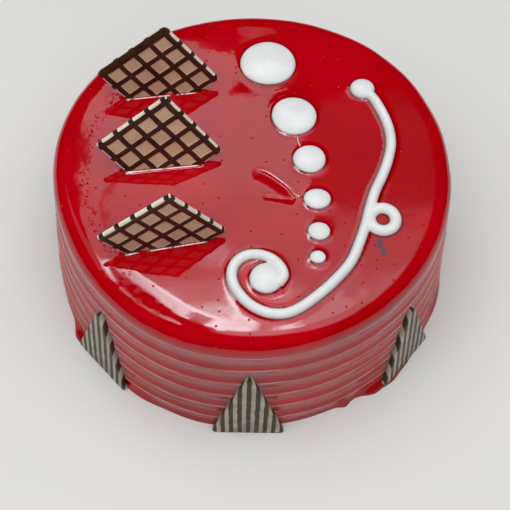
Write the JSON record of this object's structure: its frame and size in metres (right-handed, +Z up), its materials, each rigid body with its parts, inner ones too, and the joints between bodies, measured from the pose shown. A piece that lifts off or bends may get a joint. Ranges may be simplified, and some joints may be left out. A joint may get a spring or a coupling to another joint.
{
  "type": "raspberry cake",
  "caption": "Whole round raspberry cake under a red mirror glaze, with lattice chocolate squares and piped cream on top and striped chocolate triangles round its wall.",
  "frame": {"origin": "under the middle of the whole cake's box, on the surface that the cake stands on", "axes": "+Z up; -Y towards the cake's front, where a striped triangle stands; +X to the right seen from there"},
  "size_m": [0.2334, 0.2266, 0.1339],
  "materials": {
    "glaze": "mirror-smooth red glaze",
    "cream": "glossy white piped cream",
    "lattice_chocolate": "satin milk chocolate with dark bars and cream edges",
    "striped_chocolate": "satin chocolate with dark and cream stripes"
  },
  "bodies": {
    "root": {"cake_body": "glaze", "cream_dot_1": "cream", "cream_dot_2": "cream", "cream_dot_3": "cream", "cream_dot_4": "cream", "cream_dot_5": "cream", "cream_dot_6": "cream", "cream_scroll": "cream", "lattice_square_back": "lattice_chocolate", "lattice_square_middle": "lattice_chocolate", "lattice_square_front": "lattice_chocolate", "striped_triangle_1": "striped_chocolate", "striped_triangle_2": "striped_chocolate", "striped_triangle_3": "striped_chocolate", "striped_triangle_4": "striped_chocolate", "striped_triangle_5": "striped_chocolate", "striped_triangle_6": "striped_chocolate", "striped_triangle_7": "striped_chocolate"}
  },
  "joints": []
}
